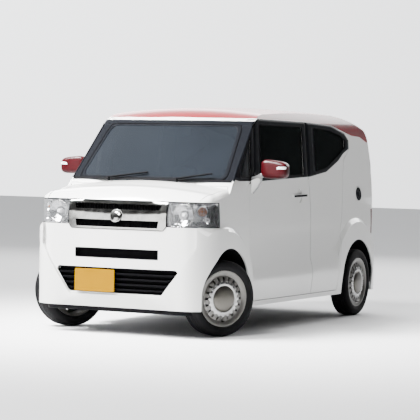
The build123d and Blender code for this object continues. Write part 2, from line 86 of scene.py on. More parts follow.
# Nose and windscreen of the same profile, as height, station.
NOSE_RISE = np.array([(0.20, -1.640), (0.42, -1.700), (0.76, -1.700), (0.985, -1.636)])
SCREEN_RISE = np.array([(1.128, -1.198), (1.594, -0.745)])
# Half width of the section, as height, across.
SIDE_RISE = np.concatenate([
    [(0.15, 0.690), (0.38, 0.712)], arc((0.712, 0.760), (0.700, 1.000), (0.674, 1.200))[:, ::-1],
    arc((0.642, 1.560), (0.622, 1.650), (0.560, 1.712))[:, ::-1],
])


def read_off(profile, at):
    """Second column of a profile, read at values of its first."""
    return np.interp(at, profile[:, 0], profile[:, 1])


def sag(radius, run):
    """How far a circle falls back over a run from its crown: r - sqrt(r^2 - run^2)."""
    return radius - np.sqrt(radius ** 2 - run ** 2)


def plan_half_width(y):
    """Half width of the plan at a station: straight sides, rounded off by a circle at each corner."""
    front = np.clip(CORNER_Y - y, 0, CORNER_R)
    rear = np.clip(y - TAIL_CORNER_Y, 0, TAIL_CORNER_R)
    return HALF_BODY - sag(CORNER_R, front) - sag(TAIL_CORNER_R, rear)


def side_x(y, z, proud=0.0):
    """How far out the side stands at a station and height: the least of section, plan and crown."""
    crown = np.sqrt(np.clip((read_off(ROOF_RISE, y) + CROWN_Z) ** 2 - (z + CROWN_Z) ** 2, 1e-6, None))
    return np.minimum(np.minimum(read_off(SIDE_RISE, z), plan_half_width(y)), crown) + proud


def crown_height(x, z):
    """Height on the middle line that the crown brings down to height z at this distance across."""
    return np.sqrt(x ** 2 + (z + CROWN_Z) ** 2) - CROWN_Z


def crowned(x, z):
    """Height at this distance across of the crown that stands at z on the middle line."""
    return np.sqrt((z + CROWN_Z) ** 2 - x ** 2) - CROWN_Z


def nose_y(x, z):
    """Station of the nose: the rearmost of the leaning profile, the bowed plan and its corner circle."""
    across = np.abs(x)
    bow = NOSE_Y + sag(NOSE_BOW_R, np.minimum(across, NOSE_BOW_END))
    corner = CORNER_Y - CORNER_R + sag(CORNER_R, np.clip(across - CORNER_X, 0, CORNER_R))
    return np.maximum(read_off(NOSE_RISE, crown_height(x, z)), np.where(across > NOSE_BOW_END, corner, bow))


def screen_y(x, z):
    """Station of the windscreen: its straight run of the profile, carried round the crown."""
    return read_off(SCREEN_RISE, crown_height(x, z))


# ---- mesh helpers ----
def lattice(rows, cols):
    """Row values and column values of a grid; each is given as first, last, count."""
    return np.meshgrid(np.linspace(*rows), np.linspace(*cols), indexing="ij")


def grid_faces(rows, cols, loop, ring):
    """Quads between neighbouring rows and columns of a grid, carried round where the grid closes."""
    r = np.arange(rows if loop else rows - 1)[:, None]
    c = np.arange(cols if ring else cols - 1)[None, :]
    r2, c2 = (r + 1) % rows, (c + 1) % cols
    return stacked(r * cols + c, r * cols + c2, r2 * cols + c2, r2 * cols + c).reshape(-1, 4)


def mesh_piece(name, points, faces, look, body="root", smooth=35):
    """Mesh piece from arrays of points and faces, on its body, smooth up to an angle in degrees."""
    mesh = bpy.data.meshes.new(name)
    mesh.vertices.add(len(points))
    mesh.vertices.foreach_set("co", np.ascontiguousarray(points, dtype=np.float32).ravel())
    mesh.loops.add(faces.size)
    mesh.loops.foreach_set("vertex_index", np.ascontiguousarray(faces, dtype=np.int32).ravel())
    mesh.polygons.add(len(faces))
    mesh.polygons.foreach_set("loop_start", np.arange(0, faces.size, faces.shape[1], dtype=np.int32))
    mesh.update(calc_edges=True)
    mesh.validate()
    edit = bmesh.new()
    edit.from_mesh(mesh)
    bmesh.ops.remove_doubles(edit, verts=edit.verts, dist=2e-6)
    edit.to_mesh(mesh)
    edit.free()
    piece = bpy.data.objects.new(name, mesh)
    bpy.context.scene.collection.objects.link(piece)
    mesh.materials.append(look)
    mesh.polygons.foreach_set("use_smooth", np.ones(len(mesh.polygons), dtype=bool))
    mesh.set_sharp_from_angle(angle=radians(smooth))
    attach(piece, body)
    return piece


def outward_faces(points, faces, facing=None):
    """Faces turned over if the mesh encloses a negative volume, or looks away from the way it should."""
    a, b, c, d = (points[faces[:, k]] for k in (0, 1, 2, -1))
    area = np.cross(c - a, d - b)
    inward = (area * (a + c)).sum() if facing is None else (area @ facing).sum()
    return faces[:, ::-1] if inward < 0 else faces


def surface(name, grid, look, body="root", loop=False, ring=False, facing=None,
            wall=0.0, smooth=35):
    """Surface through a grid of points: a loop closes its rows, a ring its columns, a wall thickens it inwards."""
    rows, cols = grid.shape[:2]
    points = grid.reshape(-1, 3)
    faces = outward_faces(points, grid_faces(rows, cols, loop, ring), facing)
    piece = mesh_piece(name, points, faces, look, body, smooth)
    if wall:
        shell = piece.modifiers.new("wall", "SOLIDIFY")
        shell.thickness = wall
        shell.offset = -1
    return piece


def basis(axis):
    """The axis at unit length, and two unit directions square to it."""
    axis = np.asarray(axis, float) / np.linalg.norm(axis)
    across = np.cross(axis, (0, 0, 1) if abs(axis[2]) < 0.9 else (1, 0, 0))
    across /= np.linalg.norm(across)
    return axis, across, np.cross(axis, across)


def turned_piece(name, profile, centre, axis, count, look, body="root", ripple=None, closed=True):
    """Profile of (along, radius) carried round an axis: centre + along*axis + radius*(cos, sin).

    A closed profile gives a ring, an open one from pole to pole a disc. A ripple changes the radius."""
    profile = np.asarray(profile, float)
    axis, e2, e3 = basis(axis)
    angle = np.linspace(0, 2 * pi, count, endpoint=False)[:, None]
    along, radius = profile[None, :, 0], profile[None, :, 1]
    if ripple is not None:
        radius = radius + ripple(angle, along)
    radius = np.where(radius < 0.0006, 0, radius)
    ring = np.cos(angle)[..., None] * e2 + np.sin(angle)[..., None] * e3
    grid = centre + along[..., None] * axis + radius[..., None] * ring
    return surface(name, grid, look, body, True, closed, None if closed else axis)


def resampled(points, marks, at):
    """Points read off between marked ones, at other values of the mark."""
    return np.stack([np.interp(at, marks, column) for column in np.transpose(points)], -1)


def closed_walk(points, step):
    """Even points along a closed polyline, with its own corners kept near."""
    ring = np.vstack([points, points[:1]])
    length = np.concatenate([[0], np.cumsum(np.linalg.norm(np.diff(ring, axis=0), axis=1))])
    return resampled(ring, length, np.linspace(0, length[-1], max(8, int(length[-1] / step)), endpoint=False))


def rounded(points, radius, steps=5):
    """Closed outline with each corner replaced by a quadratic curve that starts a radius before it."""
    points = np.asarray(points, float)
    before, after = np.roll(points, 1, 0) - points, np.roll(points, -1, 0) - points
    start, end = (points + way / np.linalg.norm(way, axis=1)[:, None]
                  * np.minimum(radius, 0.45 * np.linalg.norm(way, axis=1))[:, None] for way in (before, after))
    t = np.linspace(0, 1, steps)[None, :, None]
    curve = (1 - t) ** 2 * start[:, None] + 2 * t * (1 - t) * points[:, None] + t ** 2 * end[:, None]
    return curve.reshape(-1, points.shape[1])


def swept(name, path, normal, bead, look, body="root", closed=True, sides=10):
    """Bead of (height, half width) carried along a path, upright on the normals; its section is an ellipse."""
    path = np.asarray(path, float)
    along = np.roll(path, -1, 0) - np.roll(path, 1, 0) if closed else np.gradient(path, axis=0)
    along /= np.linalg.norm(along, axis=1)[:, None]
    normal = np.broadcast_to(np.asarray(normal, float), path.shape)
    side = np.cross(normal, along)
    side /= np.linalg.norm(side, axis=1)[:, None]
    angle = np.linspace(0, 2 * pi, sides, endpoint=False)[None, :, None]
    grid = path[:, None] + bead[0] * np.sin(angle) * normal[:, None] + bead[1] * np.cos(angle) * side[:, None]
    if not closed:
        first, last = (np.broadcast_to(end.mean(1, keepdims=True), end.shape) for end in (grid[:1], grid[-1:]))
        grid = np.concatenate([first, grid, last])
    return surface(name, grid, look, body, closed, True, smooth=50)


def reach(outline, middle, rays):
    """Distance from a middle point to a closed outline along each ray: r = p x (q - p) / u x (q - p)."""
    spokes = outline - middle
    turn = np.arctan2(spokes[:, 1], spokes[:, 0])
    order = np.argsort(turn)
    spokes, turn = spokes[order], turn[order]
    after = np.searchsorted(turn, rays, side="right")
    p, q = spokes[after - 1], spokes[after % len(spokes)]
    edge = q - p
    cut = np.cos(rays) * edge[:, 1] - np.sin(rays) * edge[:, 0]
    return (p[:, 0] * edge[:, 1] - p[:, 1] * edge[:, 0]) / cut


def banded(outer, inner):
    """Four rows between two closed outlines, matched along the same rays from the middle of the inner one."""
    middle = inner.mean(0)
    turns = [np.arctan2(*(outline - middle).T[::-1]) for outline in (outer, inner)]
    rays = np.unique(np.concatenate([np.linspace(-pi, pi, 160, endpoint=False), *turns]))
    rays = rays[np.diff(rays, append=rays[0] + 2 * pi) > 1e-4]
    outer, inner = (middle + reach(outline, middle, rays)[:, None] * stacked(np.cos(rays), np.sin(rays))
                    for outline in (outer, inner))
    share = np.linspace(0, 1, 4)[:, None, None]
    return outer * (1 - share) + inner * share


def filled(outline, rows, step):
    """Grid that fills a closed outline: rings shrinking evenly to the middle point."""
    ring = closed_walk(outline, step)
    share = np.linspace(1, 0, rows)[:, None, None]
    return ring.mean(0) + (ring - ring.mean(0)) * share


def cushion_form(centre, half, power, rows=28, cols=44):
    """Rounded block: each direction of a sphere raised to a power below one, stretched to the half sizes."""
    up = np.linspace(-pi / 2, pi / 2, rows)[:, None]
    turn = np.linspace(0, 2 * pi, cols, endpoint=False)[None, :]
    cos_up, sin_up, cos_turn, sin_turn = (
        np.sign(v) * np.abs(v) ** power for v in (np.cos(up), np.sin(up), np.cos(turn), np.sin(turn)))
    return centre + stacked(cos_up * cos_turn, cos_up * sin_turn, sin_up) * half


# ---- finishes ----
def add_node(tree, kind, **values):
    """New shader node with its inputs set by name, a space in the name written as an underscore."""
    node = tree.nodes.new(f"ShaderNode{kind}")
    for key, value in values.items():
        node.inputs[key.replace("_", " ")].default_value = value
    return node


def finish(name, colour, rough=0.5, metal=0.0, coat=0.0, vary=0.0, scale=60.0, grain=None, alpha=1.0, sheen=0.0,
           ior=1.5, rough_vary=0.05):
    """Paint, plastic or metal: noise shifts the colour and roughness a little.

    The grain is a finer noise, given as height and scale."""
    material = bpy.data.materials.new(name)
    material.use_nodes = True
    tree = material.node_tree
    link = tree.links.new
    shader = tree.nodes["Principled BSDF"]
    for key, value in (("Metallic", metal), ("Coat Weight", coat), ("Coat Roughness", 0.04), ("IOR", ior),
                       ("Alpha", alpha), ("Sheen Weight", sheen)):
        shader.inputs[key].default_value = value
    place = add_node(tree, "TexCoord")
    patch = add_node(tree, "TexNoise", Scale=scale, Detail=4)
    link(place.outputs["Object"], patch.inputs["Vector"])
    tint = tree.nodes.new("ShaderNodeMix")
    tint.data_type = "RGBA"
    tint.inputs["A"].default_value = (*[c * (1 - vary) for c in colour], 1)
    tint.inputs["B"].default_value = (*[min(1, c * (1 + vary)) for c in colour], 1)
    link(patch.outputs["Fac"], tint.inputs["Factor"])
    link(tint.outputs["Result"], shader.inputs["Base Color"])
    dull = add_node(tree, "MapRange", To_Min=max(0.0, rough - rough_vary), To_Max=min(1.0, rough + rough_vary))
    link(patch.outputs["Fac"], dull.inputs["Value"])
    link(dull.outputs["Result"], shader.inputs["Roughness"])
    if grain:
        speckle = add_node(tree, "TexNoise", Scale=grain[1], Detail=3)
        link(place.outputs["Object"], speckle.inputs["Vector"])
        raised = add_node(tree, "Bump", Strength=grain[0], Distance=0.0006)
        link(speckle.outputs["Fac"], raised.inputs["Height"])
        link(raised.outputs["Normal"], shader.inputs["Normal"])
    return material


WHITE = finish("pearl_white_paint", (0.715, 0.715, 0.70), rough=0.30, coat=1.0, vary=0.015, scale=3000, rough_vary=0.03)
RED = finish("crimson_paint", (0.13, 0.001, 0.004), rough=0.32, coat=0.35, ior=1.3, vary=0.25, scale=3500)
CHROME = finish("polished_chrome", (0.50, 0.50, 0.48), rough=0.11, metal=1.0, vary=0.45, scale=18)
BLACK = finish("grained_black_plastic", (0.003, 0.003, 0.0035), rough=0.5, vary=0.2, ior=1.08, grain=(0.5, 900))
GLOSS = finish("gloss_black_film", (0.005, 0.0055, 0.007), rough=0.30, ior=1.07, vary=0.2, scale=40)
RUBBER = finish("tyre_rubber", (0.004, 0.004, 0.0045), rough=0.72, vary=0.3, ior=1.2, scale=25, grain=(0.35, 350))
SEAL = finish("seal_rubber", (0.003, 0.003, 0.0035), rough=0.6, vary=0.2, ior=1.06, grain=(0.2, 600))
STEEL = finish("wheel_silver_paint", (0.100, 0.097, 0.090), rough=0.36, metal=0.55, coat=0.2, vary=0.08, scale=90,
               grain=(0.08, 700))
BRIGHT = finish("bright_wheel_trim", (0.38, 0.38, 0.375), rough=0.24, metal=0.85, vary=0.04, scale=60)
CAP = finish("hub_cap_grey", (0.085, 0.080, 0.070), rough=0.3, metal=0.85, vary=0.12, scale=120)
UNDER = finish("satin_black_coating", (0.005, 0.005, 0.006), rough=0.55, vary=0.25, ior=1.08, scale=30,
               grain=(0.3, 250))
CAST = finish("bare_cast_metal", (0.20, 0.20, 0.205), rough=0.55, metal=0.9, vary=0.2, scale=70, grain=(0.5, 500))
EXHAUST = finish("dull_stainless_steel", (0.36, 0.35, 0.34), rough=0.42, metal=1.0, vary=0.15, scale=40,
                 grain=(0.15, 400))
# the roof's red paint made darker for the mirror housings: painted shade
SHADED_MIRROR_RED = finish("mirror_crimson_painted_shade", (0.028, 0.0006, 0.002), rough=0.36, coat=0.12, ior=1.25, vary=0.2, scale=900)
DASH = finish("soft_dash_plastic", (0.018, 0.018, 0.02), rough=0.62, vary=0.12, ior=1.2, grain=(0.5, 1100))
CLOTH = finish("seat_cloth", (0.045, 0.044, 0.046), rough=0.88, ior=1.2, vary=0.25, scale=700, grain=(0.7, 1500),
               sheen=0.4)
YELLOW = finish("blank_yellow_enamel", (0.19, 0.094, 0.0), rough=0.55, ior=1.03, vary=0.02, scale=30, grain=(0.05, 400))
PRIVACY = finish("privacy_glass", (0.003, 0.004, 0.004), rough=0.04, vary=0.15, scale=8, ior=1.05, rough_vary=0.01,
                 alpha=0.96)
SCREEN = finish("screen_glass", (0.009, 0.011, 0.014), rough=0.05, ior=1.25, vary=0.35, scale=2.2, rough_vary=0.01,
                alpha=0.78)
LENS = finish("clear_lamp_lens", (0.30, 0.31, 0.32), rough=0.04, vary=0.02, scale=30, rough_vary=0.01, alpha=0.10)
REFLECTOR = finish("lamp_reflector", (0.50, 0.50, 0.51), rough=0.16, metal=1.0, vary=0.25, scale=45, grain=(0.2, 90))
BULB = finish("lamp_bulb_glass", (0.85, 0.86, 0.88), rough=0.08, coat=1.0, vary=0.05, scale=60)
AMBER = finish("amber_bulb", (0.20, 0.055, 0.004), rough=0.25, ior=1.3, vary=0.1, scale=60)
RED_LENS = finish("red_lamp_lens", (0.10, 0.001, 0.002), rough=0.14, ior=1.35, vary=0.1, scale=50, grain=(0.25, 160))
GREY = finish("grey_arm_plastic", (0.25, 0.25, 0.25), rough=0.4, vary=0.06, grain=(0.15, 600))
FLOOR = finish("studio_floor", (0.74, 0.74, 0.745), rough=0.8, ior=1.2, vary=0.006, scale=2, grain=(0.03, 60))

SLOT_FINISH = {
    "white_paint": WHITE, "red_paint": RED, "chrome": CHROME, "black_plastic": BLACK, "lamp_clear": LENS,
    "lamp_red": RED_LENS, "screen_glass": SCREEN, "dark_glass": PRIVACY, "underbody_black": UNDER, "cast_metal": CAST,
    "exhaust_steel": EXHAUST, "seat_fabric": CLOTH, "dash_plastic": DASH, "yellow_plate": YELLOW,
    "tyre_rubber": RUBBER, "wheel_silver": STEEL,
}

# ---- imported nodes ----
NODE_SLOT = {entry["node"]: entry["material_slot"] for entry in frame["record"]["subparts"]}
NODE_BODY = {node: body for body, nodes in frame["record"]["behaviour"]["bodies"].items() for node in nodes}
PLAIN_NODES = ("engine_block", "floor_pan", "front_subframe", "fuel_tank", "wheel_liners", "grille_inserts",
               "dashboard")
REPLACED_NODES = ("headlamps", "front_seats", "rear_seat", "mirror_left", "mirror_right")


def merged_copy(node):
    """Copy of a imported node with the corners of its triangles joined, shaded smooth below 30 degrees."""
    mesh = frame["nodes"][node].data
    points = np.empty(len(mesh.vertices) * 3, np.float32)
    mesh.vertices.foreach_get("co", points)
    corners = np.empty(len(mesh.loops), np.int32)
    mesh.loops.foreach_get("vertex_index", corners)
    places, index = np.unique(np.round(points.reshape(-1, 3), 5), axis=0, return_inverse=True)
    faces = index.reshape(-1)[corners].reshape(-1, 3)
    whole = (faces != np.roll(faces, -1, 1)).all(1)
    slot = NODE_SLOT[node]
    piece = mesh_piece(f"{node}_skin", places, faces[whole], SLOT_FINISH[slot], NODE_BODY[node], smooth=30)
    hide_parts(node)


for node, thing in frame["nodes"].items():
    thing.data.materials.clear()
    thing.data.materials.append(SLOT_FINISH[NODE_SLOT[node]])
    if node not in PLAIN_NODES + REPLACED_NODES and not node.startswith("tyre_"):
        merged_copy(node)

# ---- wheels ----
# Outer half of the tyre from the tread's middle to the bead, as along the axle, radius.
TREAD_HALF = np.array([
    (0.0, 0.281), (0.030, 0.2806), (0.052, 0.2795), (0.063, 0.2765), (0.071, 0.2700), (0.0775, 0.2560),
    (0.0815, 0.2400), (0.0800, 0.2260), (0.0745, 0.2150), (0.0700, 0.2090), (0.0625, 0.2072), (0.0610, 0.1905),
])
TREAD_RUN = 0.062  # length of that line that is walked in fine steps
GROOVES = ((0.017, 0.0045), (0.040, 0.0040))  # middle along the axle, half width
# Hub ring, cap and valve, as along the axle, radius.
TOOTHED_RING = [(0.0655, 0.094), (0.0725, 0.096), (0.0745, 0.106), (0.0720, 0.119), (0.0690, 0.1245), (0.0662, 0.1245),
                (0.0625, 0.122), (0.0600, 0.100)]
CAP_RADIUS, CAP_FOOT, CAP_RISE = 0.094, 0.0735, 0.014
VALVE = [(0, 0.004), (0.022, 0.004), (0.024, 0.0028), (0.030, 0.0026), (0.031, 0.0003)]


def tyre_profile():
    """Closed profile of the tyre, fine across the tread."""
    run = np.concatenate([[0], np.cumsum(np.hypot(*np.diff(TREAD_HALF, axis=0).T))])
    fine = np.concatenate([np.linspace(0, TREAD_RUN, 32), np.linspace(TREAD_RUN + 0.004, run[-1], 20)])
    outer = resampled(TREAD_HALF, run, fine)
    return np.concatenate([outer[::-1], outer[1:] * (-1, 1)])


def tread(angle, along):
    """Change of the tyre's radius: 6 mm off along two grooves each side, 4 mm in slits that repeat 64 times
    round, 3 mm in finer cuts that repeat 96 times between the grooves; the wall stands out by under 1 mm."""
    across = np.abs(along)
    on_tread = np.clip((0.058 - across) / 0.003, 0, 1)
    groove = sum(np.clip(1.5 - np.abs(across - middle) / half, 0, 1) for middle, half in GROOVES)
    slit = np.clip((np.cos(64 * (angle + 5 * across)) - 0.72) / 0.12, 0, 1) * (across > 0.046) * (across < 0.068)
    fine = np.clip((np.cos(96 * (angle - 3 * across)) - 0.86) / 0.08, 0, 1) * (across < 0.036) * (across > 0.022)
    wall = np.sqrt(np.clip(across - 0.0735, 0, None)) > 0.055
    return -0.006 * np.clip(groove, 0, 1) * on_tread - 0.004 * slit - 0.003 * fine + 0.0008 * wall


def teeth(angle, along):
    """20 short teeth between the slots of the disc, up to 10 mm high, on the ring's outer edge only."""
    return 0.010 * np.clip(0.5 + 1.6 * np.cos(20 * angle), 0, 1) * (along < 0.0705) * (along > 0.0655)


for joint in frame["joints"]:
    wheel = joint["child"]
    if not wheel.startswith("wheel_"):
        continue
    centre, out = np.array(joint["pos_m"], float), np.array(joint["axis"], float)
    out = out * np.sign(out[0] * (1 if "left" in wheel else -1))
    tyre = turned_piece(wheel.replace("wheel", "tyre") + "_treaded", tyre_profile(), centre, out, 384, RUBBER,
                        wheel, tread)
    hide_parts(wheel.replace("wheel", "tyre"))
    turned_piece(f"{wheel}_toothed_ring", TOOTHED_RING, centre, out, 240, BRIGHT, wheel, teeth)
    radii = np.linspace(CAP_RADIUS - 0.0001, 0, 18)
    dome = stacked(CAP_FOOT + CAP_RISE * np.sqrt(1 - (radii / CAP_RADIUS) ** 2), np.maximum(radii, 0.0004))
    turned_piece(f"{wheel}_hub_cap", np.vstack([(0.062, 0.0942), dome]), centre, out, 96, CAP,
                 wheel, closed=False)
    valve = centre + 0.166 * basis(out)[2] + 0.057 * out
    turned_piece(f"{wheel}_valve", VALVE, valve, out, 14, SEAL, wheel, closed=False)

# ---- window frames and seals ----
# Black frame and pane outlines on the side, as station, height.
FRONT_FRAME = [(-0.842, 1.1385), (-0.7590, 1.203), (-0.7155, 1.599), (-0.700, 1.611), (0.2615, 1.6115), (0.260, 1.173),
               (0.044, 1.164), (-0.678, 1.136)]
REAR_FRAME = [(0.2725, 1.173), (0.306, 1.1735), (0.660, 1.215), (0.930, 1.308), (1.050, 1.372), (1.174, 1.411),
              (1.177, 1.482), (1.098, 1.537), (0.800, 1.597), (0.2725, 1.6115)]
QUARTER_FRAME = [(-1.140, 1.150), (-1.040, 1.137), (-0.850, 1.137), (-0.7665, 1.203), (-0.7235, 1.600), (-0.752, 1.566)]
FRONT_PANE = [(-0.640, 1.172), (0.190, 1.184), (0.190, 1.570), (-0.606, 1.566)]
REAR_PANE = [(0.440, 1.212), (0.660, 1.244), (0.930, 1.345), (1.080, 1.412), (1.086, 1.484), (1.000, 1.520),
             (0.780, 1.558), (0.440, 1.568)]
QUARTER_PANE = [(-1.004, 1.166), (-0.822, 1.166), (-0.792, 1.480)]
# Black strips that close the gaps round the doors: name, line, half width.
GAP_LINES = (
    ("middle_gap", [(0.267, 1.150), (0.267, 1.6085)], 0.0034),
    ("front_gap", [(-0.850, 1.1385), (-0.7645, 1.2005), (-0.7187, 1.6025)], 0.0015),
)
# Black trims folded over the doors' front edges: door, edge line; and the fold, as stations and how proud.
EDGE_TRIMS = (
    ("door_front", [(-0.842, 1.1385), (-0.762, 1.2000), (-0.716, 1.6000)]),
    ("door_rear", [(0.2717, 1.1735), (0.2717, 1.6100)]),
)
FOLD_Y, FOLD_PROUD = (0.0060, -0.0009, -0.0009, -0.0009), np.array([0.0021, 0.0021, -0.0090, -0.0200])


def on_side(flat, side, proud):
    """Points given as station, height laid on the side; those above it are brought down to the roof's edge."""
    y, z = flat[..., 0], flat[..., 1]
    z = np.minimum(z, crowned(ROOF_EDGE_X, read_off(ROOF_RISE, y)) - 0.003)
    return stacked(side * side_x(y, z, proud), y, z)


def upright_ribbon(line, count, shift):
    """Grid of station, height up a line, with one column for each shift along the car."""
    line = np.array(line)
    heights = np.linspace(line[0, 1], line[-1, 1], count)[:, None]
    return stacked(np.interp(heights, line[:, 1], line[:, 0]) + np.array(shift), heights)


for side, side_name in SIDES:
    for part, outer, inner, body in (
        ("front_door_frame", FRONT_FRAME, FRONT_PANE, f"door_front_{side_name}"),
        ("rear_door_frame", REAR_FRAME, REAR_PANE, f"door_rear_{side_name}"),
        ("quarter_frame", QUARTER_FRAME, QUARTER_PANE, "root"),
    ):
        inner = rounded(inner, 0.022)
        surface(f"{part}_{side_name}", on_side(banded(rounded(outer, 0.004), inner), side, 0.0012), GLOSS,
                body=body, ring=True, facing=(side, 0, 0), wall=0.001)
        swept(f"{part}_seal_{side_name}", on_side(closed_walk(inner, 0.012), side, 0.0), (side, 0, 0),
              (0.004, 0.006), SEAL, body=body)
for side, side_name in SIDES:
    for part, line, half in GAP_LINES:
        surface(f"{part}_strip_{side_name}", on_side(upright_ribbon(line, 30, (-half, half)), side, -0.0008), SEAL,
                facing=(side, 0, 0), wall=0.004)
    for part, line in EDGE_TRIMS:
        trim = on_side(upright_ribbon(line, 40, FOLD_Y), side, 0.0) + FOLD_PROUD[:, None] * np.array([side, 0, 0])
        surface(f"{part}_edge_trim_{side_name}", trim, SEAL, body=f"{part}_{side_name}", facing=(side, -1, 0),
                wall=0.0006)
    rise = np.linspace(1.137, 1.558, 40)
    corner_x = read_off(SIDE_RISE, rise)
    swept(f"front_pillar_corner_{side_name}", stacked(side * corner_x, screen_y(corner_x, rise), rise),
          (side * 0.7, -0.6, 0.3), (0.0045, 0.0085), GLOSS, closed=False)

# ---- windscreen ----
SCREEN_OPENING = [(-0.626, 1.142), (0.626, 1.142), (0.566, 1.560), (-0.566, 1.560)]
SCREEN_OUT = np.array([0, -0.72, 0.69])  # square to the glass
HEADER_LOW = 1.5555
SCUTTLE_X, SCUTTLE_LOW, SCUTTLE_HIGH = 0.674, 1.129, 1.1425
STEP_HALF, STEP_RUN_OUT, STEP_DEEP = 0.50, 0.12, 0.016  # the scuttle's step at the middle


def on_screen(flat, proud):
    """Points given as across, height laid on the leaning windscreen."""
    x, z = flat[..., 0], flat[..., 1]
    return stacked(x, screen_y(x, z), z) + SCREEN_OUT * proud


# printed black border of the screen, and its rubber edge
screen_edge = rounded(SCREEN_OPENING, 0.05, 8)
border = banded(screen_edge, rounded(np.array(SCREEN_OPENING) * (0.955, 0.93) + (0, 0.0945), 0.06, 8))
surface("screen_border", on_screen(border, 0.0012), GLOSS, ring=True, facing=(0, -1, 0.5), wall=0.0008)
swept("screen_seal", on_screen(closed_walk(screen_edge, 0.02), 0.001), SCREEN_OUT, (0.004, 0.006), SEAL)

# black cladding of the front pillars, from the screen's edge round to the side
height, share = lattice((1.137, 1.556, 40), (0, 1, 8))
inner = np.interp(height, (1.142, 1.560), (0.622, 0.562))
x = inner + (read_off(SIDE_RISE, height) + 0.001 - inner) * share
for side, side_name in SIDES:
    surface(f"front_pillar_cladding_{side_name}", stacked(side * x, screen_y(x, height) - 0.001, height), GLOSS,
            facing=(0, -1, 0.5), wall=0.001)

# black header over the screen, from side to side and up over the roof's rounding to a level line
FRONT_ROOF = ROOF_RISE[(ROOF_RISE[:, 1] > 1.59) & (ROOF_RISE[:, 0] < -0.45)]
FRONT_RISE = np.vstack([SCREEN_RISE[:1], FRONT_ROOF[:, ::-1]])
share_x, share = lattice((-1, 1, 90), (0, 1, 12))
header_z = HEADER_LOW + (HEADER_TOP - HEADER_LOW) * share
across = share_x * (read_off(SIDE_RISE, header_z) + 0.0008)
header_y = read_off(FRONT_RISE, crown_height(across, header_z)) - 0.0012
surface("screen_header_film", stacked(across, header_y, header_z + 0.0006), GLOSS, facing=(0, -1, 0.5), wall=0.0008)

# scuttle panel under the screen: a low step at the middle that runs out along the glass towards the sides
across, run = lattice((-SCUTTLE_X, SCUTTLE_X, 100), (0, 1, 10))
glass_level = crown_height(across, SCUTTLE_HIGH)
low_level = np.maximum(SCUTTLE_LOW, glass_level - 0.020)
panel_z = low_level + (glass_level - low_level) * np.clip(run * 2 - 1, 0, 1)
step = STEP_DEEP * np.clip((STEP_HALF - np.abs(across)) / STEP_RUN_OUT, 0, 1) * np.clip(1 - run * 2, 0, 1)
scuttle = stacked(across, read_off(SCREEN_RISE, panel_z) - step - 0.003, crowned(across, panel_z + 0.003))
surface("scuttle_panel", scuttle, BLACK, facing=(0, -0.5, 1), wall=0.002)

# ---- headlamps ----
LAMP_FROM, LAMP_END = 0.408, -1.405  # inner edge across, rear end as station
LAMP_LOW, LAMP_HIGH = 0.800, 0.978
LAMP_BOW_END = 0.5337  # how far across the nose's bow runs into its corner circle
LAMP_BOW, LAMP_CORNER = 0.34, 0.90  # shares of the outline where bow and corner circle end
CORNER_START = 0.0937  # angle at which the corner circle starts
MAIN_LAMP = (0.520, -1.612, 0.888)
MAIN_BULB = [(-0.034, 0.017), (-0.006, 0.016), (0.004, 0.012), (0.007, 0.0003)]
MAIN_RING = rounded([(-0.002, 0.076), (0.007, 0.077), (0.007, 0.082), (-0.002, 0.083)], 0.003, 4)
SIGNAL_BULB = [(-0.020, 0.010), (-0.004, 0.0098), (0.004, 0.006), (0.006, 0.0003)]


def lamp_surface(share, z, inset):
    """Plan outline inset and cut by the leaning nose: bow, then corner circle by angle, then the straight side."""
    angle = CORNER_START + (share - LAMP_BOW) / (LAMP_CORNER - LAMP_BOW) * (pi / 2 - CORNER_START)
    angle = np.clip(angle, 0, pi / 2)
    bow_x = LAMP_FROM + (LAMP_BOW_END - LAMP_FROM) * share / LAMP_BOW
    bow_y = NOSE_Y + sag(NOSE_BOW_R, bow_x) + inset
    corner_x = CORNER_X + (CORNER_R - inset) * np.sin(angle)
    corner_y = CORNER_Y - (CORNER_R - inset) * np.cos(angle)
    side_y = CORNER_Y + (LAMP_END - CORNER_Y) * np.clip(share - LAMP_CORNER, 0, 1) / (1 - LAMP_CORNER)
    x = np.where(share < LAMP_BOW, bow_x, corner_x)
    y = np.where(share < LAMP_BOW, bow_y, np.where(share < LAMP_CORNER, corner_y, side_y))
    lean = read_off(NOSE_RISE, crown_height(x, z)) + inset
    return stacked(np.minimum(x, read_off(SIDE_RISE, z) - inset), np.maximum(y, lean), z)


def bowl(depth, radius):
    """Open dish: depth falls with the square of the radius, from a rolled rim to the middle."""
    share = np.linspace(1, 0.004, 14)
    rim = [(-0.004, radius + 0.005), (0.001, radius + 0.004)]
    return np.vstack([rim, stacked(-depth * (1 - share ** 2), radius * share)])


